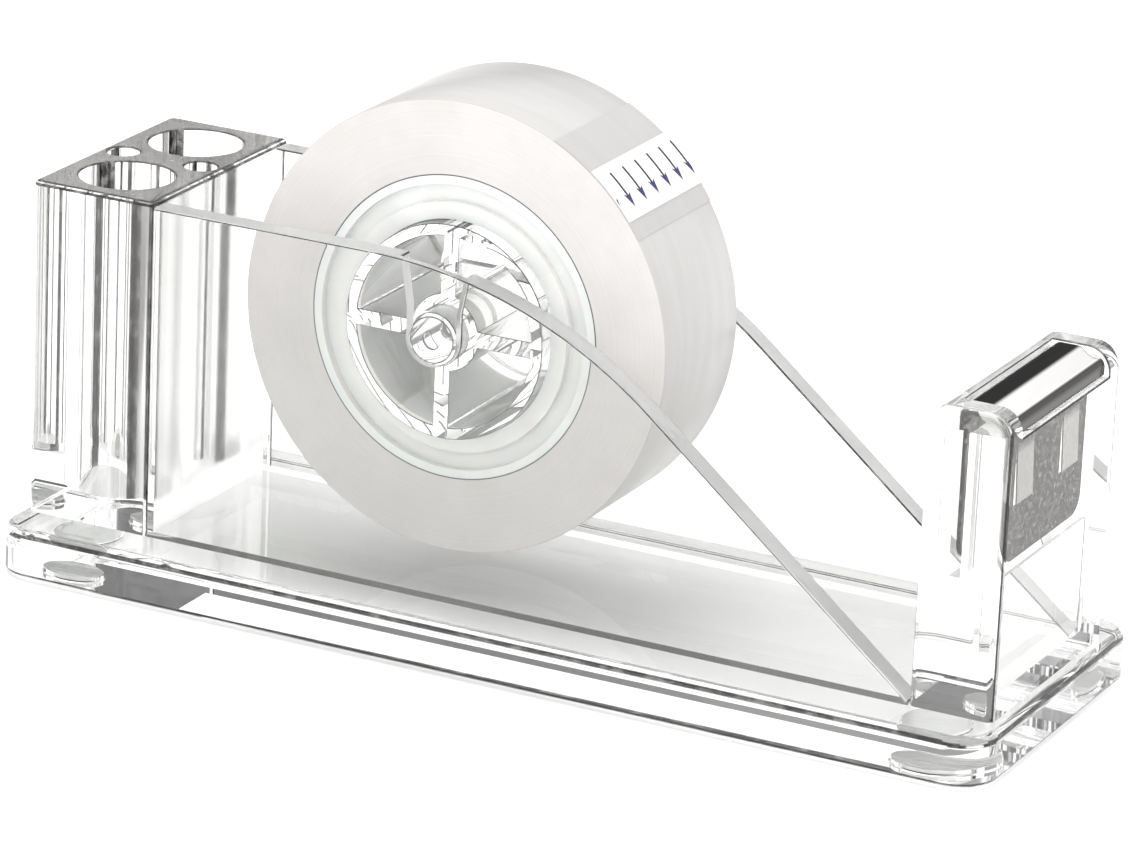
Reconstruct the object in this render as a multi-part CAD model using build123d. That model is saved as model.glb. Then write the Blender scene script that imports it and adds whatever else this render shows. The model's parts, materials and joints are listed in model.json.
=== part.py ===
"""Clear desk tape dispenser with a pen block.

Frame: origin on the table at the middle of the base, +Z up, X along the
dispenser with the blade at +X and the pen block at -X, Y across it.
All sizes are in millimetres.
"""
import os
from math import cos, radians, sin, tan

from build123d import *

# Driving dimensions ---------------------------------------------------------

# Base plate and its four bonded feet
BASE_LENGTH = 130.0
BASE_WIDTH = 46.0
BASE_THICKNESS = 6.0
BASE_CORNER_RADIUS = 5.0
BASE_TOP_ROUND = 1.3
BASE_BOTTOM_CHAMFER = 0.4
FOOT_RADIUS = 4.0
FOOT_THICKNESS = 1.0
FOOT_PROUD = 0.4
FOOT_SEAT_CLEARANCE = 0.1
FOOT_X = 56.0
FOOT_Y = 15.0

# Upper body: pen block, two side walls and blade post
BODY_WIDTH = 32.6
WALL_THICKNESS = 3.0
BLOCK_X = (-63.8, -47.2)
BLOCK_TOP = 48.2
BLOCK_EDGE_ROUND = 1.0
BLOCK_JOINT_EDGE_ROUND = 0.6
BLOCK_TOP_CHAMFER = 0.4
PEN_BORE_RADIUS = 5.8
PEN_BORE_Y = 8.2
SMALL_BORE_RADIUS = 2.0
SMALL_BORE_OFFSET = 5.4
PEN_BORE_FLOOR = 9.6
SMALL_BORE_FLOOR = 12.0

WALL_TOP = 47.6
WALL_ARC_START_X = -18.0
WALL_ARC_RADIUS = 58.4
WALL_ARC_TURN = 39.2
WALL_EDGE_ROUND = 0.3

POST_X = (52.8, 63.2)
POST_TOP = 42.8
POST_CHEEK = 3.6
POST_TOP_ROUND = 3.0
POST_EDGE_ROUND = 1.0
POST_SLOT_X = (55.8, 57.3)
POST_SLOT_FLOOR = 22.0
POST_LEDGE_TOP = 39.4

# Reel: axle, hub, core and tape
AXLE_X = -10.0
AXLE_Z = 38.0
AXLE_RADIUS = 3.2
AXLE_CHAMFER = 0.4
AXLE_CLEARANCE = 0.06
AXLE_END_GAP = 0.2
AXLE_DIMPLE_RADIUS = 1.1
AXLE_DIMPLE_DEPTH = 0.4
SLOT_DEPTH = 2.0
SLOT_CLEARANCE = 0.08
SLOT_MOUTH_WIDTH = 9.0
SLOT_NECK_ABOVE_AXLE = 3.6

HUB_RADIUS = 12.9
HUB_RIM = 1.4
HUB_LENGTH = 22.8
HUB_BOSS_RADIUS = 4.6
HUB_SPOKE = 2.0
HUB_SPOKES = 4

TAPE_WIDTH = 19.0
TAPE_RADIUS = 27.3
CORE_OUTER = 18.2
CORE_BORE = 13.0
CORE_GROOVE = (15.0, 17.2)
CORE_GROOVE_DEPTH = 1.0

LEADER_ANGLES = (32.4, 64.3)
LEADER_THICKNESS = 0.1
TAB_ANGLES = (37.3, 52.6)
TAB_THICKNESS = 0.12

# Cutter blade, folded from one steel strip
BLADE_GAUGE = 0.5
BLADE_WIDTH = 25.0
BLADE_LEG_WIDTH = 22.4
BLADE_LEG_BOTTOM = 23.2
BLADE_LEG_GAP = 0.1
BLADE_LEG_CORNER = 2.5
BLADE_TOP = 42.6
BLADE_FLAT_END_X = 59.2
BLADE_NOSE = (62.3, 41.5)
BLADE_LIP_BOTTOM = 39.7
BLADE_BEND = 0.9
TOOTH_COUNT = 22
TOOTH_DEPTH = 1.1
LANCE_WIDTH = 4.6
LANCE_Y = 6.6
LANCE_TOP = 37.6
LANCE_BOTTOM = 29.8
LANCE_SLIT = 0.3

# Sizes that follow from the driving ones ------------------------------------

BASE_BOTTOM = FOOT_PROUD
BASE_TOP = BASE_BOTTOM + BASE_THICKNESS
HALF_BODY = BODY_WIDTH / 2
WALL_INNER_Y = HALF_BODY - WALL_THICKNESS
SLOT_END_Y = WALL_INNER_Y + SLOT_DEPTH
BLOCK_CENTRE_X = sum(BLOCK_X) / 2
POST_GAP_WIDTH = BODY_WIDTH - 2 * POST_CHEEK
LEG_FACE_X = POST_SLOT_X[0] + BLADE_LEG_GAP
BLADE_LEG_X = LEG_FACE_X + BLADE_GAUGE / 2
CUT_MARGIN = 1.0


def box_between(low, high):
    """Solid box from its lowest and highest corners."""
    size = [b - a for a, b in zip(low, high)]
    centre = [(a + b) / 2 for a, b in zip(low, high)]
    return Pos(*centre) * Box(*size)


def across_cylinder(radius, y_low, y_high):
    """Cylinder along Y about the axle's line."""
    place = Pos(AXLE_X, (y_low + y_high) / 2, AXLE_Z) * Rot(90, 0, 0)
    return place * Cylinder(radius, y_high - y_low)


def across_ring(inner, outer, y_low, y_high):
    """Ring about the axle's line."""
    bore = across_cylinder(inner, y_low - CUT_MARGIN, y_high + CUT_MARGIN)
    return across_cylinder(outer, y_low, y_high) - bore


def side_profile(sketch, y_low, y_high):
    """Extrude an XZ outline from y_low to y_high."""
    return Pos(0, y_high, 0) * Rot(90, 0, 0) * extrude(sketch, y_high - y_low)


def vertical_edges(solid):
    return solid.edges().filter_by(Axis.Z)


def base_plate():
    """Slab with round corners, a rounded top edge and seats for the feet."""
    outline = RectangleRounded(BASE_LENGTH, BASE_WIDTH, BASE_CORNER_RADIUS)
    slab = Pos(0, 0, BASE_BOTTOM) * extrude(outline, BASE_THICKNESS)
    slab = fillet(slab.faces().sort_by(Axis.Z)[-1].edges(), BASE_TOP_ROUND)
    slab = chamfer(slab.faces().sort_by(Axis.Z)[0].edges(), BASE_BOTTOM_CHAMFER)
    seat_depth = FOOT_THICKNESS - FOOT_PROUD
    seat = Cylinder(FOOT_RADIUS + FOOT_SEAT_CLEARANCE, 2 * seat_depth)
    for x, y in foot_places():
        slab -= Pos(x, y, BASE_BOTTOM) * seat
    return slab


def foot_places():
    return [(x, y) for x in (-FOOT_X, FOOT_X) for y in (-FOOT_Y, FOOT_Y)]


def foot(x, y):
    """Soft round pad that stands a little proud of the base."""
    pad = Cylinder(FOOT_RADIUS, FOOT_THICKNESS)
    pad = chamfer(pad.faces().sort_by(Axis.Z)[0].edges(), FOOT_PROUD / 2)
    return Pos(x, y, FOOT_THICKNESS / 2) * pad


def pen_block():
    """Block with two pen bores and two narrow bores, all blind."""
    low = (BLOCK_X[0], -HALF_BODY, BASE_TOP)
    high = (BLOCK_X[1], HALF_BODY, BLOCK_TOP)
    block = box_between(low, high)
    left_edges = vertical_edges(block).sort_by(Axis.X)[:2]
    block = fillet(left_edges, BLOCK_EDGE_ROUND)
    joint_edges = vertical_edges(block).sort_by(Axis.X)[-2:]
    block = fillet(joint_edges, BLOCK_JOINT_EDGE_ROUND)
    block = chamfer(block.faces().sort_by(Axis.Z)[-1].edges(), BLOCK_TOP_CHAMFER)
    pen_depth = BLOCK_TOP - PEN_BORE_FLOOR + CUT_MARGIN
    small_depth = BLOCK_TOP - SMALL_BORE_FLOOR + CUT_MARGIN
    pen_middle = PEN_BORE_FLOOR + pen_depth / 2
    small_middle = SMALL_BORE_FLOOR + small_depth / 2
    for side in (-1, 1):
        pen = Pos(BLOCK_CENTRE_X, side * PEN_BORE_Y, pen_middle)
        block -= pen * Cylinder(PEN_BORE_RADIUS, pen_depth)
        small = Pos(BLOCK_CENTRE_X + side * SMALL_BORE_OFFSET, 0, small_middle)
        block -= small * Cylinder(SMALL_BORE_RADIUS, small_depth)
    return block


def wall_outline():
    """Side wall seen from the front: level, then an arc, then straight down to the post."""
    turn = radians(WALL_ARC_TURN)
    arc_end_x = WALL_ARC_START_X + WALL_ARC_RADIUS * sin(turn)
    arc_end_z = WALL_TOP - WALL_ARC_RADIUS * (1 - cos(turn))
    half_x = WALL_ARC_START_X + WALL_ARC_RADIUS * sin(turn / 2)
    half_z = WALL_TOP - WALL_ARC_RADIUS * (1 - cos(turn / 2))
    block_foot = (BLOCK_X[1], BASE_TOP)
    block_top = (BLOCK_X[1], WALL_TOP)
    arc_start = (WALL_ARC_START_X, WALL_TOP)
    arc_end = (arc_end_x, arc_end_z)
    toe = (POST_X[0], arc_end_z - (POST_X[0] - arc_end_x) * tan(turn))
    post_foot = (POST_X[0], BASE_TOP)
    edges = [
        Line(block_foot, block_top),
        Line(block_top, arc_start),
        ThreePointArc(arc_start, (half_x, half_z), arc_end),
        Line(arc_end, toe),
        Line(toe, post_foot),
        Line(post_foot, block_foot),
    ]
    return make_face(edges)


def axle_slot():
    """Open-topped pocket: round at the axle, straight, then a flared mouth."""
    half = AXLE_RADIUS + SLOT_CLEARANCE
    neck_z = AXLE_Z + SLOT_NECK_ABOVE_AXLE
    mouth_z = WALL_TOP + CUT_MARGIN
    mouth = SLOT_MOUTH_WIDTH / 2
    points = [
        (AXLE_X - half, AXLE_Z),
        (AXLE_X + half, AXLE_Z),
        (AXLE_X + half, neck_z),
        (AXLE_X + mouth, mouth_z),
        (AXLE_X - mouth, mouth_z),
        (AXLE_X - half, neck_z),
    ]
    channel = make_face(Polyline(*points, close=True))
    channel += Pos(AXLE_X, AXLE_Z) * Circle(half)
    return side_profile(channel, -SLOT_END_Y, SLOT_END_Y)


def side_wall(side):
    """Side wall on the -Y side (side = -1) or the +Y side (side = 1)."""
    y_low, y_high = sorted((side * WALL_INNER_Y, side * HALF_BODY))
    wall = side_profile(wall_outline(), y_low, y_high)
    outer_top_edges = [
        edge
        for edge in wall.edges().filter_by(Axis.Z, reverse=True)
        if abs(edge.center().Y - side * HALF_BODY) < WALL_EDGE_ROUND
        and edge.center().Z > BASE_TOP + WALL_EDGE_ROUND
    ]
    wall = fillet(outer_top_edges, WALL_EDGE_ROUND)
    return wall - axle_slot()


def blade_post():
    """Post with a narrow blade slot between two cheeks, and a low ledge in front."""
    low = (POST_X[0], -HALF_BODY, BASE_TOP)
    high = (POST_X[1], HALF_BODY, POST_TOP)
    post = box_between(low, high)
    top_long = post.faces().sort_by(Axis.Z)[-1].edges().filter_by(Axis.Y)
    post = fillet(top_long, POST_TOP_ROUND)
    post = fillet(vertical_edges(post), POST_EDGE_ROUND)
    half_gap = POST_GAP_WIDTH / 2
    above = POST_TOP + CUT_MARGIN
    slot_low = (POST_SLOT_X[0], -half_gap, POST_SLOT_FLOOR)
    post -= box_between(slot_low, (POST_SLOT_X[1], half_gap, above))
    ledge_low = (POST_SLOT_X[0], -half_gap, POST_LEDGE_TOP)
    ledge_high = (POST_X[1] + CUT_MARGIN, half_gap, above)
    return post - box_between(ledge_low, ledge_high)


def axle():
    """Plain pin with a small dimple in the middle of each end."""
    half = SLOT_END_Y - AXLE_END_GAP
    pin = across_cylinder(AXLE_RADIUS, -half, half)
    pin = chamfer(pin.edges().filter_by(GeomType.CIRCLE), AXLE_CHAMFER)
    for side in (-1, 1):
        y_low, y_high = sorted((side * (half - AXLE_DIMPLE_DEPTH), side * (half + CUT_MARGIN)))
        pin -= across_cylinder(AXLE_DIMPLE_RADIUS, y_low, y_high)
    return pin


def spool_hub():
    """Rim, spokes and boss in one moulding, bored for the axle."""
    half = HUB_LENGTH / 2
    hub = across_ring(HUB_RADIUS - HUB_RIM, HUB_RADIUS, -half, half)
    hub += across_cylinder(HUB_BOSS_RADIUS, -half, half)
    reach = HUB_RADIUS - HUB_RIM / 2
    for number in range(HUB_SPOKES // 2):
        turn = Rot(0, number * 360 / HUB_SPOKES, 0)
        hub += Pos(AXLE_X, 0, AXLE_Z) * turn * Box(2 * reach, HUB_LENGTH, HUB_SPOKE)
    bore = AXLE_RADIUS + AXLE_CLEARANCE
    return hub - across_cylinder(bore, -half - CUT_MARGIN, half + CUT_MARGIN)


def tape_core():
    """Core with a groove in each face between its two rings."""
    half = TAPE_WIDTH / 2
    core = across_ring(CORE_BORE, CORE_OUTER, -half, half)
    inner, outer = CORE_GROOVE
    core -= across_ring(inner, outer, half - CORE_GROOVE_DEPTH, half + CUT_MARGIN)
    core -= across_ring(inner, outer, -half - CUT_MARGIN, CORE_GROOVE_DEPTH - half)
    return core


def tape_roll():
    half = TAPE_WIDTH / 2
    return across_ring(CORE_OUTER, TAPE_RADIUS, -half, half)


def roll_point(radius, angle):
    """Point on the roll; the angle is from +X towards +Z."""
    return (AXLE_X + radius * cos(radians(angle)), AXLE_Z + radius * sin(radians(angle)))


def wrapped_strip(radius, thickness, angles):
    """Thin strip that lies on the roll between two angles."""
    low, high = angles
    middle = (low + high) / 2
    outer = radius + thickness
    inner_arc = ThreePointArc(*[roll_point(radius, a) for a in (low, middle, high)])
    outer_arc = ThreePointArc(*[roll_point(outer, a) for a in (high, middle, low)])
    sides = [
        Line(roll_point(radius, high), roll_point(outer, high)),
        Line(roll_point(outer, low), roll_point(radius, low)),
    ]
    outline = make_face([inner_arc, outer_arc] + sides)
    return side_profile(outline, -TAPE_WIDTH / 2, TAPE_WIDTH / 2)


def tape_leader():
    """Last piece of tape, which holds the start tab to the roll."""
    return wrapped_strip(TAPE_RADIUS, LEADER_THICKNESS, LEADER_ANGLES)


def tape_start_tab():
    return wrapped_strip(TAPE_RADIUS + LEADER_THICKNESS, TAB_THICKNESS, TAB_ANGLES)


def blade_strip():
    """Blade in section: leg, bend, flat top, sloping nose and short lip."""
    half = BLADE_GAUGE / 2
    top = BLADE_TOP - half
    points = [
        (BLADE_LEG_X, POST_LEDGE_TOP),
        (BLADE_LEG_X, top),
        (BLADE_FLAT_END_X, top),
        (BLADE_NOSE[0], BLADE_NOSE[1] - half),
        (BLADE_NOSE[0], BLADE_LIP_BOTTOM),
    ]
    centre_line = FilletPolyline(*points, radius=BLADE_BEND)
    section = trace(centre_line, BLADE_GAUGE)
    return side_profile(section, -BLADE_WIDTH / 2, BLADE_WIDTH / 2)


def blade_teeth_gaps():
    """Wedges between the teeth, cut up into the lip."""
    pitch = BLADE_WIDTH / TOOTH_COUNT
    root = BLADE_LIP_BOTTOM + TOOTH_DEPTH
    below = BLADE_LIP_BOTTOM - CUT_MARGIN
    spread = pitch / 2 * (root - below) / TOOTH_DEPTH
    wedge = make_face(Polyline((-spread, below), (spread, below), (0, root), close=True))
    prism = Rot(90, 0, 90) * extrude(wedge, BLADE_BEND * 2, both=True)
    return [
        Pos(BLADE_NOSE[0], (number - TOOTH_COUNT / 2) * pitch, 0) * prism
        for number in range(TOOTH_COUNT + 1)
    ]


def lance(y):
    """Spring tongue bent out of the leg until its end meets the slot's far face."""
    near = LEG_FACE_X
    far = POST_SLOT_X[1]
    foot_z = LANCE_BOTTOM + LANCE_SLIT
    points = [
        (near, LANCE_TOP),
        (near + BLADE_GAUGE, LANCE_TOP),
        (far, foot_z),
        (far - BLADE_GAUGE, foot_z),
    ]
    tongue = make_face(Polyline(*points, close=True))
    return side_profile(tongue, y - LANCE_WIDTH / 2, y + LANCE_WIDTH / 2)


def blade_leg():
    """Flat leg in the slot, with round lower corners and two lanced springs."""
    half_width = BLADE_LEG_WIDTH / 2
    low = (LEG_FACE_X, -half_width, BLADE_LEG_BOTTOM)
    high = (LEG_FACE_X + BLADE_GAUGE, half_width, POST_LEDGE_TOP)
    leg = box_between(low, high)
    lower_corners = leg.edges().filter_by(Axis.X).sort_by(Axis.Z)[:2]
    leg = fillet(lower_corners, BLADE_LEG_CORNER)
    half_window = LANCE_WIDTH / 2 + LANCE_SLIT
    for y in (-LANCE_Y, LANCE_Y):
        window_low = (low[0] - CUT_MARGIN, y - half_window, LANCE_BOTTOM)
        window_high = (high[0] + CUT_MARGIN, y + half_window, LANCE_TOP)
        leg -= box_between(window_low, window_high)
        leg += lance(y)
    return leg


def cutter_blade():
    blade = blade_strip()
    for gap in blade_teeth_gaps():
        blade -= gap
    return blade + blade_leg()


def main():
    nodes = {
        "base_plate": base_plate(),
        "pen_block": pen_block(),
        "front_side_wall": side_wall(-1),
        "rear_side_wall": side_wall(1),
        "blade_post": blade_post(),
        "cutter_blade": cutter_blade(),
        "axle": axle(),
        "spool_hub": spool_hub(),
        "tape_core": tape_core(),
        "tape_roll": tape_roll(),
        "tape_leader": tape_leader(),
        "tape_start_tab": tape_start_tab(),
    }
    corners = ("left_front", "left_rear", "right_front", "right_rear")
    for corner, (x, y) in zip(corners, foot_places()):
        nodes["foot_" + corner] = foot(x, y)
    os.makedirs("parts", exist_ok=True)
    for name, shape in nodes.items():
        export_step(shape, "parts/" + name + ".step")
        print(name, round(shape.volume, 2), len(shape.solids()))


main()
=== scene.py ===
import json
from math import cos, pi, radians, sin

import bmesh
import bpy
from mathutils import Matrix, Vector


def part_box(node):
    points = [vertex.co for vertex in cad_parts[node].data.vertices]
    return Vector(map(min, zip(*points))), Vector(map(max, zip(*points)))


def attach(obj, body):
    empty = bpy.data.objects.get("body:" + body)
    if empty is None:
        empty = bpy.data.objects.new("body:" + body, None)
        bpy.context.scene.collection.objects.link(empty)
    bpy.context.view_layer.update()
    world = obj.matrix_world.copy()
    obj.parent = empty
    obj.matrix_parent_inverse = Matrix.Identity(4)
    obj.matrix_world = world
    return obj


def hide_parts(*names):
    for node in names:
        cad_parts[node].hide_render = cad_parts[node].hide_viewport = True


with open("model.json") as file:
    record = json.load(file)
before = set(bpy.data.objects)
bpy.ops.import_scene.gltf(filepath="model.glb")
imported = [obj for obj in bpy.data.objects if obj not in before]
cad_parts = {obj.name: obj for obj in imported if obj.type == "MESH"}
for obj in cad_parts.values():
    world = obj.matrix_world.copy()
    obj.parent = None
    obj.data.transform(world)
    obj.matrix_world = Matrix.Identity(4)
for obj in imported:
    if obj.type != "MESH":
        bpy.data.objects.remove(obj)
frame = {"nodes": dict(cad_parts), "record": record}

MM = 0.001

# Camera: angles in degrees, lengths in metres
CAMERA_AZIMUTH = 26.08
CAMERA_ELEVATION = 19.2
CAMERA_ROLL = 2.54
CAMERA_DISTANCE = 0.7371
CAMERA_TARGET = Vector((0.00077, 0, 0.02484))
CAMERA_LENS = 197.3
CAMERA_SENSOR = 36.0
CAMERA_CLIP = (0.05, 40)

# The clear body is bonded from these pieces, base first
BONDED_NODES = (
    "base_plate",
    "pen_block",
    "front_side_wall",
    "rear_side_wall",
    "blade_post",
)
MERGE_DISTANCE = 1e-6
FLAT_ANGLE = radians(0.2)
SHARP_ANGLE = radians(28)
BODY_EDGE_WIDTH = 0.18 * MM
REEL_EDGE_WIDTH = 0.09 * MM
EDGE_STEPS = 2
EDGE_WEIGHT = "bevel_weight_edge"
EVEN_NORMAL_WEIGHT = 100

# Which faces of the clear body take which material: sizes, then parts of a unit normal
BLOCK_TOP_SHADE_DEPTH = 0.05 * MM
JOINT_MARGIN = 0.1 * MM
SLOT_SIDE_X = 57.3 * MM
UPRIGHT_LIMIT = 0.1
DIAGONAL_LIMIT = 0.45
WALL_SIDE_LIMIT = 0.9
ROUND_LINE = (0.8, 0.96)
POLISHED, BLOCK_TOP_PAINTED_SHADE, PAINTED_SHADE_EDGE, WALL_CUT, SLOT_SIDE = range(5)

# Clear plastics: each range is blended by a pattern, and heights are in metres
ACRYLIC_IOR = 1.49
SLOT_SIDE_IOR = 1.06
WAVE_SCALE = 45
HAZE_SCALE = 2600
BREAK_SCALE = 420
POLISH_ROUGH = (0.0, 0.025)
POLISH_TINT = ((0.95, 0.953, 0.942), (0.985, 0.983, 0.98))
POLISH_LAMP = (0.94, 0.95, 0.945, 1)
PALE_LAMP = (0.9, 0.9, 0.9, 1)
CLEAR_LOOKS = {
    "clear_acrylic": {
        "rough": POLISH_ROUGH,
        "wave_height": 0.01 * MM,
        "colours": POLISH_TINT,
        "lamp_colour": POLISH_LAMP,
    },
    # Top faces of the pen block: rough, with a dark grey-brown tint that is painted shade
    "clear_acrylic_rough_top_painted_shade": {
        "rough": (0.05, 0.3),
        "wave_height": 0.04 * MM,
        "colours": ((0.34, 0.32, 0.31), (0.52, 0.5, 0.485)),
        "lamp_colour": PALE_LAMP,
    },
    "clear_acrylic_wall_top": {
        "rough": (0.3, 0.45),
        "wave_height": 0.02 * MM,
        "colours": ((0.93, 0.925, 0.92), (0.98, 0.975, 0.97)),
        "lamp_colour": PALE_LAMP,
    },
    "clear_acrylic_slot_side": {
        "rough": POLISH_ROUGH,
        "wave_height": 0.01 * MM,
        "colours": POLISH_TINT,
        "lamp_colour": POLISH_LAMP,
        "ior": SLOT_SIDE_IOR,
    },
    "clear_moulding": {
        "rough": (0.0, 0.05),
        "wave_height": 0.08 * MM,
        "colours": ((0.93, 0.935, 0.93), (0.98, 0.98, 0.975)),
        "lamp_colour": (0.9, 0.92, 0.91, 1),
    },
    "soft_clear_pad": {
        "rough": (0.08, 0.25),
        "wave_height": 0.06 * MM,
        "colours": ((0.84, 0.84, 0.83), (0.94, 0.94, 0.935)),
        "lamp_colour": PALE_LAMP,
        "clearness": 0.45,
    },
}
# Edge strips: painted shade, near-black in broken lines, for the dark lines that clear edges
# show
PAINTED_EDGE_SHADE_DEEP = (0.004, 0.004, 0.004)
PAINTED_EDGE_SHADE_PALE = (0.12, 0.115, 0.11)
EDGE_LAMP = (0.5, 0.5, 0.5, 1)

# Cutter: the dull film on the leg ends between two heights. Its top has painted reflection
# bands and its bent tongue a painted highlight, each from its start and end along X.
BLADE_FILM_EDGE = (0.0394, 0.0397)
STEEL_FILM = (0.014, 0.01, 0.009)
STEEL_SPECK = (0.3, 0.28, 0.27)
STEEL_PAINTED_HIGHLIGHT = (0.88, 0.87, 0.86)
STEEL_TONGUE_PAINTED_HIGHLIGHT = (0.34, 0.33, 0.32)
STEEL_PAINTED_DARK_REFLECTION = (0.05, 0.046, 0.043)
LEG_PAINTED_HIGHLIGHT_BANDS = ((0.05645, 0.0566, STEEL_TONGUE_PAINTED_HIGHLIGHT),)
CAP_PAINTED_REFLECTION_BANDS = (
    (0.0550, 0.0555, STEEL_PAINTED_DARK_REFLECTION),
    (0.0591, 0.0596, STEEL_PAINTED_HIGHLIGHT),
    (0.0619, 0.0621, STEEL_PAINTED_DARK_REFLECTION),
)

# Pattern scales per metre, in the object's own frame
TAPE_RING_SCALE = 3500
TAPE_CLOUD_SCALE = 160
TAPE_GRAIN_SCALE = 5200
FACE_CLOUD_SCALE = 90
FACE_STREAK_SCALE = 70
CORE_CLOUD_SCALE = 220
CORE_GRAIN_SCALE = 3000
PAPER_FIBRE_SCALE = 4200
INK_BLOT_SCALE = 3600
STEEL_LINE_SCALE = 120
STEEL_SPECK_SCALE = 2400
FLOOR_CLOUD_SCALE = 3

# Roll, core and tab: linear colours as pairs that a pattern blends
TAPE_SIDE = ((0.6, 0.578, 0.562), (0.64, 0.617, 0.602))
RING_SHADE = ((0.965, 0.965, 0.965), (1, 1, 1))
# Painted shade in the narrow gap where the roll meets the core
CORE_GAP_SHADE = ((0.04, 0.04, 0.04), (1, 1, 1))
CORE_GAP_EDGES = (0.06 * MM, 0.2 * MM)
OUTER_TAPE = ((0.475, 0.462, 0.452), (0.5, 0.488, 0.478))
# The leader is the outer tape's colour made darker: painted shade
LEADER_TAPE_PAINTED_SHADE = ((0.43, 0.418, 0.41), (0.445, 0.433, 0.425))
CORE_WHITE = ((0.74, 0.745, 0.73), (0.79, 0.795, 0.78))
PAPER_WHITE = ((0.7, 0.7, 0.7), (0.76, 0.76, 0.76))
BLACK_INK = ((0.004, 0.004, 0.006), (0.02, 0.02, 0.025))
NAVY_INK = ((0.01, 0.01, 0.05), (0.03, 0.03, 0.16))

# Reel
REEL_JOINT = next(
    joint
    for joint in frame["record"]["behaviour"]["joints"]
    if joint["name"] == "reel_spin"
)
AXLE_PLACE = tuple(REEL_JOINT["pos_m"])
REEL_SEGMENTS = 360
ROLL_EDGE_ROUND = 0.12 * MM
ROLL_EDGE_MIDDLE = 0.3
ROLL_INSET = 0.003 * MM
ARROW_PITCH = 3.14 * MM
ARROW_FIRST_Y = -9.74 * MM
ARROW_COUNT = 7
ARROW_LENGTH = 4.9 * MM
ARROW_SHAFT_WIDTH = 0.40 * MM
ARROW_HEAD_LENGTH = 1.95 * MM
ARROW_HEAD_WIDTH = 1.5 * MM
ARROW_HEAD_NOTCH = 0.35 * MM
PRINT_THICKNESS = 0.004 * MM
PRINT_MARGIN = 0.05 * MM
PRINT_CUTS = 3

# Stage
FLOOR_RADIUS = 6.0
FLOOR_SEGMENTS = 96
FLOOR_WHITE = ((0.93, 0.93, 0.93), (0.95, 0.95, 0.95))
SOFTBOX_COUNT = 2.0
SOFTBOX_PHASE = 0.663
GAP_EDGES = (-0.35, 0.0)
GAP_LIGHT = 0.17
BOX_LIGHT = 1.3
OVERHEAD_EDGES = (0.36, 0.48)
EVEN_LIGHT = 1.6
KEY_PLACE = (-0.3, 0.1, 1.4)
KEY_SIZE = (1.0, 1.0)
KEY_POWER = 4
LIGHT_BOUNCES = 32


def set_inputs(node, values):
    """Fill a shader node's inputs: a socket is linked and any other value is set."""
    tree = node.id_data
    for name, value in values.items():
        if isinstance(value, bpy.types.NodeSocket):
            tree.links.new(value, node.inputs[name])
        else:
            node.inputs[name].default_value = value


def add_node(tree, kind, values=None, **settings):
    node = tree.nodes.new(kind)
    for name, value in settings.items():
        setattr(node, name, value)
    set_inputs(node, values or {})
    return node


def start_material(name):
    """Empty node material. Returns it with its tree and output node."""
    material = bpy.data.materials.new(name)
    material.use_nodes = True
    tree = material.node_tree
    tree.nodes.clear()
    output = add_node(tree, "ShaderNodeOutputMaterial")
    return material, tree, output


def noise(tree, scale, detail=3.0, roughness=0.5, stretch=None):
    """Noise in metres of the object's own frame, stretched along an axis if asked."""
    place = add_node(tree, "ShaderNodeTexCoord").outputs["Object"]
    if stretch:
        mapping = add_node(tree, "ShaderNodeMapping", {"Vector": place})
        mapping.inputs["Scale"].default_value = stretch
        place = mapping.outputs["Vector"]
    values = {"Vector": place, "Scale": scale, "Detail": detail, "Roughness": roughness}
    return add_node(tree, "ShaderNodeTexNoise", values).outputs["Fac"]


def spread(tree, socket, low, high, start=0.3, end=0.7):
    """Map start..end of a pattern to low..high."""
    values = {
        "Value": socket,
        "From Min": start,
        "From Max": end,
        "To Min": low,
        "To Max": high,
    }
    return add_node(tree, "ShaderNodeMapRange", values).outputs["Result"]


def two_colours(tree, socket, first, second, start=0.35, end=0.65):
    """Blend between two colours by a pattern."""
    ramp = add_node(tree, "ShaderNodeValToRGB", {"Fac": socket})
    ramp.color_ramp.elements[0].position = start
    ramp.color_ramp.elements[0].color = (*first, 1)
    ramp.color_ramp.elements[1].position = end
    ramp.color_ramp.elements[1].color = (*second, 1)
    return ramp.outputs["Color"]


def multiplied(tree, first, second):
    """Product of two colours."""
    mix = add_node(tree, "ShaderNodeMix", data_type="RGBA", blend_type="MULTIPLY")
    mix.inputs[0].default_value = 1.0
    tree.links.new(first, mix.inputs[6])
    tree.links.new(second, mix.inputs[7])
    return mix.outputs[2]


def mixed(tree, factor, first, second):
    """First where the factor is 0, second where it is 1. Each is a socket or a colour."""
    mix = add_node(tree, "ShaderNodeMix", data_type="RGBA")
    tree.links.new(factor, mix.inputs[0])
    for place, value in ((6, first), (7, second)):
        if isinstance(value, bpy.types.NodeSocket):
            tree.links.new(value, mix.inputs[place])
        else:
            mix.inputs[place].default_value = (*value, 1)
    return mix.outputs[2]


def banded(tree, place, first, bands):
    """First colour, changed to each band's colour from its start and end onwards."""
    colour = first
    for start, end, band in bands:
        colour = mixed(tree, spread(tree, place, 0.0, 1.0, start, end), colour, band)
    return colour


def bump(tree, height, distance, strength=1.0, under=None):
    values = {"Height": height, "Distance": distance, "Strength": strength}
    if under is not None:
        values["Normal"] = under
    return add_node(tree, "ShaderNodeBump", values).outputs["Normal"]


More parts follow.
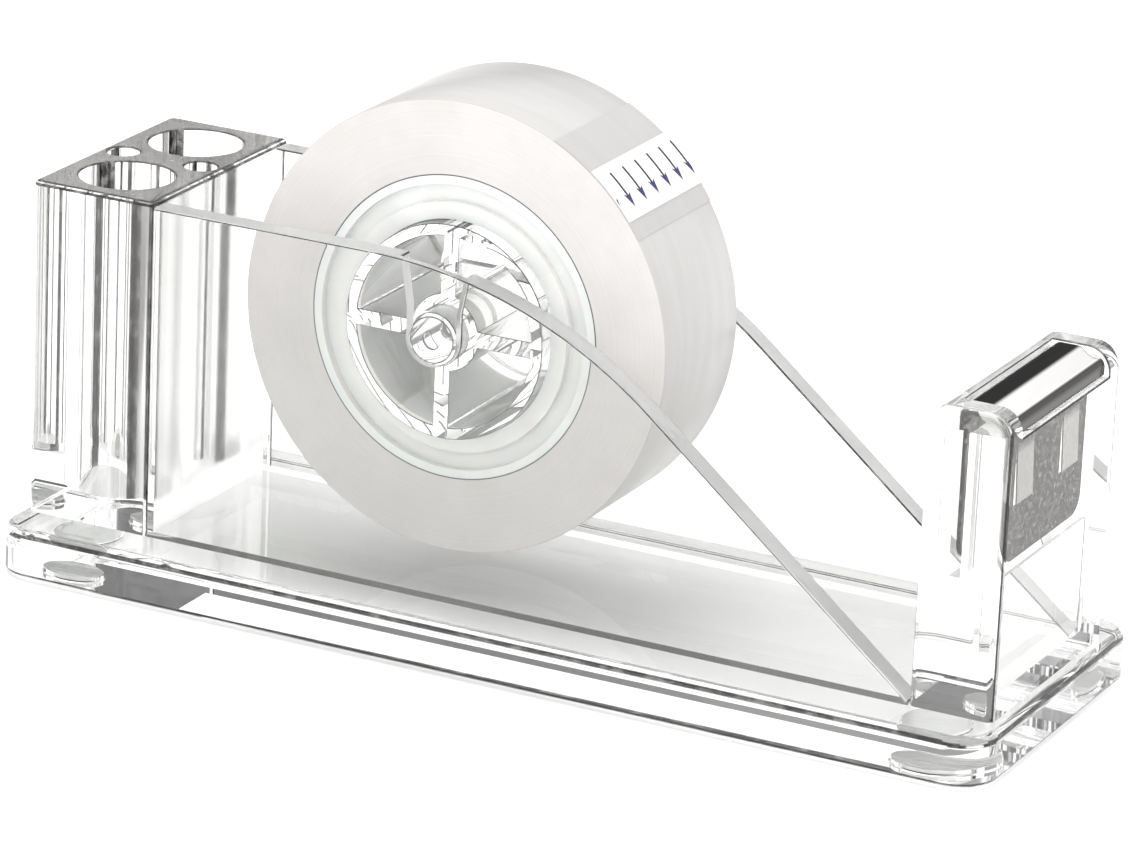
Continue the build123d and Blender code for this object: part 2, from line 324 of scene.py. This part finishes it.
def clear_material(
    name, rough, wave_height, colours, lamp_colour, clearness=1.0, ior=ACRYLIC_IOR
):
    """Clear plastic with faint flow waves, dust-fine haze and a trace of tint."""
    material, tree, output = start_material(name)
    waves = noise(tree, WAVE_SCALE, detail=1.0)
    haze = noise(tree, HAZE_SCALE, detail=4.0, roughness=0.7)
    values = {
        "Base Color": two_colours(tree, waves, *colours),
        "Roughness": spread(tree, haze, *rough, start=0.45),
        "Transmission Weight": clearness,
        "IOR": ior,
        "Normal": bump(tree, waves, wave_height),
    }
    link_clear_shader(tree, output, values, lamp_colour)
    return material


def painted_shade_edge_material():
    """Narrow round edges of clear plastic, painted near-black in broken lines: painted shade
    for the dark lines along clear edges.
    """
    material, tree, output = start_material("clear_edge_painted_shade")
    breaks = noise(tree, BREAK_SCALE, detail=5.0, roughness=0.75)
    values = {
        "Base Color": two_colours(tree, breaks, PAINTED_EDGE_SHADE_DEEP, PAINTED_EDGE_SHADE_PALE, 0.5, 0.72),
        "Roughness": spread(tree, breaks, 0.05, 0.2),
        "Transmission Weight": 1.0,
        "IOR": ACRYLIC_IOR,
        "Specular IOR Level": 0.0,
    }
    link_clear_shader(tree, output, values, EDGE_LAMP)
    return material


def link_clear_shader(tree, output, values, lamp_colour):
    """Glass that lamps shine through, so that clear parts throw no dark shadow."""
    glass = add_node(tree, "ShaderNodeBsdfPrincipled", values)
    see_through = add_node(tree, "ShaderNodeBsdfTransparent", {"Color": lamp_colour})
    lamp = add_node(tree, "ShaderNodeLightPath").outputs["Is Shadow Ray"]
    mix = add_node(tree, "ShaderNodeMixShader", {"Fac": lamp})
    tree.links.new(glass.outputs[0], mix.inputs[1])
    tree.links.new(see_through.outputs[0], mix.inputs[2])
    tree.links.new(mix.outputs[0], output.inputs["Surface"])


def finish_material(tree, output, values):
    shader = add_node(tree, "ShaderNodeBsdfPrincipled", values)
    tree.links.new(shader.outputs[0], output.inputs["Surface"])


def axle_distance(tree):
    """Distance from the axle's line."""
    place = add_node(tree, "ShaderNodeTexCoord").outputs["Object"]
    values = {0: place, 1: Vector(AXLE_PLACE)}
    offset = add_node(tree, "ShaderNodeVectorMath", values, operation="SUBTRACT")
    values = {0: offset.outputs[0], 1: (1, 0, 1)}
    flat = add_node(tree, "ShaderNodeVectorMath", values, operation="MULTIPLY")
    values = {0: flat.outputs[0]}
    return add_node(tree, "ShaderNodeVectorMath", values, operation="LENGTH").outputs["Value"]


def wound_tape_material():
    """Matte edges of wound tape: fine rings round the axle, and a line of painted shade at
    the core.
    """
    material, tree, output = start_material("wound_tape")
    radius = axle_distance(tree)
    rings = add_node(tree, "ShaderNodeTexNoise", {"Scale": TAPE_RING_SCALE, "Detail": 3})
    rings.noise_dimensions = "1D"
    tree.links.new(radius, rings.inputs["W"])
    cloud = noise(tree, TAPE_CLOUD_SCALE, detail=4.0)
    grain = noise(tree, TAPE_GRAIN_SCALE, detail=2.0)
    inner, _ = node_radii("tape_roll")
    gap_start, gap_end = (inner + edge for edge in CORE_GAP_EDGES)
    away_from_gap = spread(tree, radius, 0.0, 1.0, gap_start, gap_end)
    shade = two_colours(tree, cloud, *TAPE_SIDE)
    ring_shade = two_colours(tree, rings.outputs["Fac"], *RING_SHADE)
    gap_shade = two_colours(tree, away_from_gap, *CORE_GAP_SHADE, 0.0, 1.0)
    under = bump(tree, rings.outputs["Fac"], 0.03 * MM, strength=0.5)
    values = {
        "Base Color": multiplied(tree, multiplied(tree, shade, ring_shade), gap_shade),
        "Roughness": spread(tree, cloud, 0.5, 0.62),
        "Normal": bump(tree, grain, 0.008 * MM, under=under),
    }
    finish_material(tree, output, values)
    return material


def tape_face_material(name, colours):
    """Smooth satin back of the outer turn of tape."""
    material, tree, output = start_material(name)
    cloud = noise(tree, FACE_CLOUD_SCALE, detail=3.0)
    streaks = noise(tree, FACE_STREAK_SCALE, detail=2.0, stretch=(1, 9, 1))
    values = {
        "Base Color": two_colours(tree, streaks, *colours),
        "Roughness": spread(tree, cloud, 0.28, 0.4),
        "Normal": bump(tree, streaks, 0.01 * MM, strength=0.5),
    }
    finish_material(tree, output, values)
    return material


def core_material():
    """Milky moulded plastic."""
    material, tree, output = start_material("core_plastic_look")
    cloud = noise(tree, CORE_CLOUD_SCALE, detail=3.0)
    grain = noise(tree, CORE_GRAIN_SCALE, detail=3.0)
    values = {
        "Base Color": two_colours(tree, cloud, *CORE_WHITE),
        "Roughness": spread(tree, grain, 0.3, 0.42),
        "Normal": bump(tree, grain, 0.01 * MM),
        "Subsurface Weight": 0.25,
        "Subsurface Scale": 2 * MM,
    }
    finish_material(tree, output, values)
    return material


def paper_material():
    """White paper of the start tab."""
    material, tree, output = start_material("start_tab_paper")
    fibres = noise(tree, PAPER_FIBRE_SCALE, detail=4.0, roughness=0.65)
    values = {
        "Base Color": two_colours(tree, fibres, *PAPER_WHITE),
        "Roughness": spread(tree, fibres, 0.5, 0.65),
        "Normal": bump(tree, fibres, 0.006 * MM),
    }
    finish_material(tree, output, values)
    return material


def ink_material(name, colours):
    """Printing ink, a little uneven."""
    material, tree, output = start_material(name)
    blots = noise(tree, INK_BLOT_SCALE, detail=3.0)
    values = {
        "Base Color": two_colours(tree, blots, *colours),
        "Roughness": spread(tree, blots, 0.38, 0.55),
    }
    finish_material(tree, output, values)
    return material


def steel_material():
    """Spring steel: a speckled dull film on the leg with a painted highlight on its bent
    tongue, and painted reflection bands on the folded top.
    """
    material, tree, output = start_material("spring_steel")
    lines = noise(tree, STEEL_LINE_SCALE, detail=4.0, roughness=0.6, stretch=(30, 1, 30))
    specks = noise(tree, STEEL_SPECK_SCALE, detail=4.0, roughness=0.8)
    place = add_node(tree, "ShaderNodeTexCoord").outputs["Object"]
    split = add_node(tree, "ShaderNodeSeparateXYZ", {"Vector": place})
    spots = two_colours(tree, specks, STEEL_FILM, STEEL_SPECK, 0.54, 0.6)
    # Painted highlight on the bent tongue, painted reflection bands on the folded top
    leg = banded(tree, split.outputs["X"], spots, LEG_PAINTED_HIGHLIGHT_BANDS)
    cap = banded(tree, split.outputs["X"], spots, CAP_PAINTED_REFLECTION_BANDS)
    out_of_slot = spread(tree, split.outputs["Z"], 0.0, 1.0, *BLADE_FILM_EDGE)
    values = {
        "Base Color": mixed(tree, out_of_slot, leg, cap),
        "Metallic": 1.0,
        "Roughness": spread(tree, lines, 0.1, 0.16),
        "Normal": bump(tree, lines, 0.004 * MM, strength=0.5),
    }
    finish_material(tree, output, values)
    return material


def floor_material():
    material, tree, output = start_material("pale_floor")
    cloud = noise(tree, FLOOR_CLOUD_SCALE, detail=2.0)
    values = {
        "Base Color": two_colours(tree, cloud, *FLOOR_WHITE),
        "Roughness": 0.9,
    }
    finish_material(tree, output, values)
    return material


def new_object(name, mesh, materials, body=None, nodes=()):
    """Shown piece from a mesh, riding on a body and standing for its CAD nodes."""
    piece = bpy.data.objects.new(name, mesh)
    bpy.context.scene.collection.objects.link(piece)
    slots = [face.material_index for face in mesh.polygons]
    mesh.materials.clear()
    for material in materials:
        mesh.materials.append(material)
    mesh.polygons.foreach_set("material_index", slots)
    if body:
        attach(piece, body)
    if nodes:
        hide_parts(*nodes)
    return piece


def smooth_with_sharp_edges(mesh, angle=SHARP_ANGLE):
    mesh.polygons.foreach_set("use_smooth", [True] * len(mesh.polygons))
    mesh.set_sharp_from_angle(angle=angle)


def welded_copy(node):
    """Copy of a CAD node's mesh with its split vertices joined and no own normals."""
    mesh = bpy.data.meshes.new(node)
    work = bmesh.new()
    work.from_mesh(frame["nodes"][node].data)
    bmesh.ops.remove_doubles(work, verts=work.verts, dist=MERGE_DISTANCE)
    work.to_mesh(mesh)
    work.free()
    return mesh


def joined_mesh(nodes, name):
    """One closed mesh from CAD nodes that are bonded face to face."""
    first = bpy.data.objects.new(name, welded_copy(nodes[0]))
    bpy.context.scene.collection.objects.link(first)
    others = []
    for node in nodes[1:]:
        other = bpy.data.objects.new(name + "_" + node, welded_copy(node))
        bpy.context.scene.collection.objects.link(other)
        joint = first.modifiers.new(node, "BOOLEAN")
        joint.operation = "UNION"
        joint.solver = "EXACT"
        joint.object = other
        others.append(other)
    graph = bpy.context.evaluated_depsgraph_get()
    mesh = bpy.data.meshes.new_from_object(first.evaluated_get(graph), depsgraph=graph)
    for used in [first, *others]:
        bpy.data.objects.remove(used)
    return mesh


def tidy_flat_faces(mesh):
    """Merge the triangles of each flat face and mark the outward sharp edges."""
    work = bmesh.new()
    work.from_mesh(mesh)
    bmesh.ops.remove_doubles(work, verts=work.verts, dist=MERGE_DISTANCE)
    bmesh.ops.dissolve_limit(
        work, angle_limit=FLAT_ANGLE, verts=work.verts, edges=work.edges
    )
    work.normal_update()
    weight = work.edges.layers.float.new(EDGE_WEIGHT)
    for edge in work.edges:
        edge[weight] = float(edge.calc_face_angle_signed(0.0) > SHARP_ANGLE)
    work.to_mesh(mesh)
    work.free()


def soften_edges(piece, width, edge_slot):
    """Round the marked edges narrowly. The new strips take the edge material, which is
    painted shade.
    """
    edge = piece.modifiers.new("edge_round", "BEVEL")
    edge.material = edge_slot
    edge.width = width
    edge.segments = EDGE_STEPS
    edge.limit_method = "WEIGHT"
    edge.use_clamp_overlap = False
    normals = piece.modifiers.new("even_normals", "WEIGHTED_NORMAL")
    normals.keep_sharp = True
    normals.weight = EVEN_NORMAL_WEIGHT


def body_face_slot(face):
    """Material slot of a face of the clear body.

    Round edges get a painted shade line along them. The slot side is the face of the post's
    slot that the cutter's springs meet: it reflects little, so the steel shows dark.
    """
    block_low, block_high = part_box("pen_block")
    post_low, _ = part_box("blade_post")
    centre, normal = face.center, face.normal
    above_base = centre.z > block_low.z + JOINT_MARGIN
    # Top faces of the pen block take the rough look with painted shade
    if centre.z > block_high.z - BLOCK_TOP_SHADE_DEPTH and centre.x < block_high.x:
        return BLOCK_TOP_PAINTED_SHADE
    low_line, high_line = ROUND_LINE
    if above_base and block_high.x < centre.x < post_low.x:
        if low_line < abs(normal.y) < high_line:
            return PAINTED_SHADE_EDGE
        if abs(normal.y) < WALL_SIDE_LIMIT:
            return WALL_CUT
    beside = max(abs(normal.x), abs(normal.y))
    upright = abs(normal.z) < UPRIGHT_LIMIT
    if not above_base and low_line < beside < high_line and abs(normal.z) > UPRIGHT_LIMIT:
        return PAINTED_SHADE_EDGE
    if abs(centre.x - SLOT_SIDE_X) < JOINT_MARGIN and normal.x < -WALL_SIDE_LIMIT:
        return SLOT_SIDE
    # Upright diagonal faces above the base take the painted shade edge material too
    diagonal = abs(normal.y) > DIAGONAL_LIMIT and abs(normal.x) > abs(normal.y)
    return PAINTED_SHADE_EDGE if upright and above_base and diagonal else POLISHED


def clear_body(materials):
    """The bonded pieces as one fused piece. Its materials are in the slots' order."""
    mesh = joined_mesh(BONDED_NODES, "clear_body")
    tidy_flat_faces(mesh)
    smooth_with_sharp_edges(mesh)
    for face in mesh.polygons:
        face.material_index = body_face_slot(face)
    piece = new_object(
        "clear_body", mesh, materials, "dispenser", BONDED_NODES
    )
    soften_edges(piece, BODY_EDGE_WIDTH, PAINTED_SHADE_EDGE)


def edged_copy(node, plastic, edge, body):
    """Copy of a clear CAD node with its sharp edges softened."""
    mesh = welded_copy(node)
    tidy_flat_faces(mesh)
    smooth_with_sharp_edges(mesh)
    name = node + "_clear"
    piece = new_object(name, mesh, [plastic, edge], body, [node])
    soften_edges(piece, REEL_EDGE_WIDTH, edge_slot=1)


def on_reel(angle, radius, y):
    """Point at an angle (radians, from +X towards +Z) and radius about the axle."""
    x = AXLE_PLACE[0] + radius * cos(angle)
    z = AXLE_PLACE[2] + radius * sin(angle)
    return Vector((x, y, z))


def axle_offset(point):
    """Place of a point about the axle's line, seen along it."""
    return Vector((point.x - AXLE_PLACE[0], point.z - AXLE_PLACE[2]))


def lathe(name, outline, face_slots=None):
    """Ring turned about the axle from a closed outline of (radius, y) points."""
    work = bmesh.new()
    rings = []
    for i in range(REEL_SEGMENTS):
        angle = 2 * pi * i / REEL_SEGMENTS
        rings.append([work.verts.new(on_reel(angle, r, y)) for r, y in outline])
    for i, ring in enumerate(rings):
        after = rings[(i + 1) % REEL_SEGMENTS]
        for j in range(len(outline)):
            k = (j + 1) % len(outline)
            face = work.faces.new((ring[j], ring[k], after[k], after[j]))
            if face_slots:
                face.material_index = face_slots[j]
    bmesh.ops.recalc_face_normals(work, faces=work.faces)
    mesh = bpy.data.meshes.new(name)
    work.to_mesh(mesh)
    work.free()
    smooth_with_sharp_edges(mesh)
    return mesh


def node_radii(node):
    """Smallest and largest distance of a node's points from the axle's line."""
    reach = [axle_offset(v.co).length for v in frame["nodes"][node].data.vertices]
    return min(reach), max(reach)


def node_angles(node):
    """First and last angle of a node's points about the axle's line."""
    zero = Vector((1, 0))
    points = frame["nodes"][node].data.vertices
    turns = [-zero.angle_signed(axle_offset(v.co)) for v in points]
    return min(turns), max(turns)


def tape_roll(side_material, face_material):
    inner, outer = node_radii("tape_roll")
    outer -= ROLL_INSET
    low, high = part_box("tape_roll")
    cut = ROLL_EDGE_ROUND
    middle = cut * ROLL_EDGE_MIDDLE
    outline = [
        (inner, low.y),
        (outer - cut, low.y),
        (outer - middle, low.y + middle),
        (outer, low.y + cut),
        (outer, high.y - cut),
        (outer - middle, high.y - middle),
        (outer - cut, high.y),
        (inner, high.y),
    ]
    slots = [0, 1, 1, 1, 1, 1, 0, 0]
    mesh = lathe("wound_tape", outline, slots)
    return new_object(
        "wound_tape",
        mesh,
        [side_material, face_material],
        "reel",
        ["tape_roll"],
    )


def arrow_outline():
    """Arrow as (along, across) points, tail at 0, pointing to +along."""
    neck = ARROW_LENGTH - ARROW_HEAD_LENGTH
    half_shaft = ARROW_SHAFT_WIDTH / 2
    half_head = ARROW_HEAD_WIDTH / 2
    shaft = [
        (0, -half_shaft),
        (neck + ARROW_HEAD_NOTCH, -half_shaft),
        (neck + ARROW_HEAD_NOTCH, half_shaft),
        (0, half_shaft),
    ]
    head = [
        (neck + ARROW_HEAD_NOTCH, -half_shaft),
        (neck, -half_head),
        (ARROW_LENGTH, 0),
        (neck, half_head),
        (neck + ARROW_HEAD_NOTCH, half_shaft),
    ]
    return shaft, head


def printed_arrows(shaft_ink, head_ink):
    """Thin printed arrows bent round the start tab, cut off at the tape's edges."""
    first, last = node_angles("tape_start_tab")
    _, radius = node_radii("tape_start_tab")
    low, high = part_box("tape_start_tab")
    tail = (first + last) / 2 + ARROW_LENGTH / 2 / radius
    work = bmesh.new()
    for i in range(ARROW_COUNT):
        y = ARROW_FIRST_Y + i * ARROW_PITCH
        for slot, part in enumerate(arrow_outline()):
            corners = [work.verts.new((along, y + across, 0)) for along, across in part]
            work.faces.new(corners).material_index = slot
    for edge_y, side in ((low.y + PRINT_MARGIN, -1), (high.y - PRINT_MARGIN, 1)):
        bmesh.ops.bisect_plane(
            work,
            geom=[*work.verts, *work.edges, *work.faces],
            plane_co=(0, edge_y, 0),
            plane_no=(0, side, 0),
            clear_outer=True,
        )
    bmesh.ops.triangulate(work, faces=work.faces)
    bmesh.ops.subdivide_edges(work, edges=work.edges, cuts=PRINT_CUTS, use_grid_fill=True)
    for vert in work.verts:
        vert.co = on_reel(tail - vert.co.x / radius, radius + PRINT_THICKNESS, vert.co.y)
    bmesh.ops.recalc_face_normals(work, faces=work.faces)
    mesh = bpy.data.meshes.new("printed_arrows")
    work.to_mesh(mesh)
    work.free()
    return new_object(
        "printed_arrows", mesh, [shaft_ink, head_ink], "reel"
    )


def paint_node(name, material):
    """Give a CAD node that stays as it is a finished material."""
    piece = frame["nodes"][name]
    for place in piece.material_slots:
        place.link = "OBJECT"
        place.material = material


def studio_floor():
    work = bmesh.new()
    bmesh.ops.create_circle(work, cap_ends=True, radius=FLOOR_RADIUS, segments=FLOOR_SEGMENTS)
    mesh = bpy.data.meshes.new("floor")
    work.to_mesh(mesh)
    work.free()
    floor = new_object("floor", mesh, [floor_material()])


def studio_world():
    """Soft white dome. Clear parts see dark gaps between softboxes low down in it."""
    world = bpy.data.worlds.new("studio")
    bpy.context.scene.world = world
    world.use_nodes = True
    tree = world.node_tree
    tree.nodes.clear()
    place = add_node(tree, "ShaderNodeTexCoord").outputs["Generated"]
    split = add_node(tree, "ShaderNodeSeparateXYZ", {"Vector": place})
    across, away, height = (split.outputs[axis] for axis in "XYZ")
    bearing = add_node(tree, "ShaderNodeMath", {0: away, 1: across}, operation="ARCTAN2")
    turned = add_node(
        tree,
        "ShaderNodeMath",
        {0: bearing.outputs[0], 1: SOFTBOX_COUNT, 2: SOFTBOX_PHASE},
        operation="MULTIPLY_ADD",
    )
    wave = add_node(tree, "ShaderNodeMath", {0: turned.outputs[0]}, operation="SINE")
    boxes = spread(tree, wave.outputs[0], GAP_LIGHT, BOX_LIGHT, *GAP_EDGES)
    overhead = spread(tree, height, 0.0, 1.0, *OVERHEAD_EDGES)
    level = add_node(tree, "ShaderNodeMix", data_type="FLOAT")
    tree.links.new(overhead, level.inputs[0])
    tree.links.new(boxes, level.inputs[2])
    level.inputs[3].default_value = BOX_LIGHT
    dome = add_node(tree, "ShaderNodeBackground", {"Strength": level.outputs[0]})
    dome.inputs["Color"].default_value = (1, 1, 1, 1)
    even = add_node(tree, "ShaderNodeBackground", {"Strength": EVEN_LIGHT})
    even.inputs["Color"].default_value = (1, 1, 1, 1)
    path = add_node(tree, "ShaderNodeLightPath")
    plain = add_node(
        tree,
        "ShaderNodeMath",
        {0: path.outputs["Is Camera Ray"], 1: path.outputs["Diffuse Depth"]},
        operation="MAXIMUM",
        use_clamp=True,
    )
    mix = add_node(tree, "ShaderNodeMixShader", {"Fac": plain.outputs[0]})
    tree.links.new(dome.outputs[0], mix.inputs[1])
    tree.links.new(even.outputs[0], mix.inputs[2])
    output = add_node(tree, "ShaderNodeOutputWorld")
    tree.links.new(mix.outputs[0], output.inputs["Surface"])


def softbox(name, place, size, power):
    """Lamp with a soft square face, aimed at the origin."""
    lamp = bpy.data.lights.new(name, "AREA")
    lamp.shape = "RECTANGLE"
    lamp.size, lamp.size_y = size
    lamp.energy = power
    piece = bpy.data.objects.new(name, lamp)
    piece.location = place
    piece.rotation_euler = Vector(place).to_track_quat("Z", "Y").to_euler()
    bpy.context.scene.collection.objects.link(piece)


def make_camera():
    azimuth = radians(CAMERA_AZIMUTH)
    elevation = radians(CAMERA_ELEVATION)
    roll = radians(CAMERA_ROLL)
    back = Vector(
        (
            sin(azimuth) * cos(elevation),
            -cos(azimuth) * cos(elevation),
            sin(elevation),
        )
    )
    level = Vector((cos(azimuth), sin(azimuth), 0))
    up = back.cross(level)
    right = level * cos(roll) + up * sin(roll)
    top = up * cos(roll) - level * sin(roll)
    camera = bpy.data.objects.new("camera", bpy.data.cameras.new("camera"))
    camera.data.lens = CAMERA_LENS
    camera.data.sensor_width = CAMERA_SENSOR
    camera.data.clip_start, camera.data.clip_end = CAMERA_CLIP
    turn = Matrix((right, top, back)).transposed().to_4x4()
    place = CAMERA_TARGET + back * CAMERA_DISTANCE
    camera.matrix_world = Matrix.Translation(place) @ turn
    bpy.context.scene.collection.objects.link(camera)
    bpy.context.scene.camera = camera


def clear_pieces():
    """Every clear piece: the bonded body, the reel's moulding and pin, and the feet."""
    looks = {name: clear_material(name, **look) for name, look in CLEAR_LOOKS.items()}
    edge = painted_shade_edge_material()
    body_materials = {
        POLISHED: looks["clear_acrylic"],
        BLOCK_TOP_PAINTED_SHADE: looks["clear_acrylic_rough_top_painted_shade"],
        PAINTED_SHADE_EDGE: edge,
        WALL_CUT: looks["clear_acrylic_wall_top"],
        SLOT_SIDE: looks["clear_acrylic_slot_side"],
    }
    clear_body(list(body_materials.values()))
    edged_copy("axle", looks["clear_moulding"], edge, "axle_pin")
    edged_copy("spool_hub", looks["clear_moulding"], edge, "reel")
    for foot in ("left_front", "left_rear", "right_front", "right_rear"):
        paint_node("foot_" + foot, looks["soft_clear_pad"])


def opaque_pieces():
    """Core, cutter, roll, leader, and the start tab with its arrows."""
    paint_node("tape_core", core_material())
    paint_node("cutter_blade", steel_material())
    tape_roll(wound_tape_material(), tape_face_material("outer_tape", OUTER_TAPE))
    # Leader: a darker copy of the outer tape's colour, painted shade
    paint_node("tape_leader", tape_face_material("leader_tape_painted_shade", LEADER_TAPE_PAINTED_SHADE))
    paint_node("tape_start_tab", paper_material())
    shaft_ink = ink_material("black_print", BLACK_INK)
    head_ink = ink_material("navy_print", NAVY_INK)
    printed_arrows(shaft_ink, head_ink)


def render_settings():
    """Plain tones, and enough bounces for light that crosses many clear faces."""
    scene = bpy.context.scene
    scene.view_settings.view_transform = "Standard"
    scene.cycles.max_bounces = LIGHT_BOUNCES
    scene.cycles.glossy_bounces = LIGHT_BOUNCES
    scene.cycles.transmission_bounces = LIGHT_BOUNCES


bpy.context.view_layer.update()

make_camera()
studio_floor()
studio_world()
softbox("key_light", KEY_PLACE, KEY_SIZE, KEY_POWER)
clear_pieces()
opaque_pieces()
render_settings()
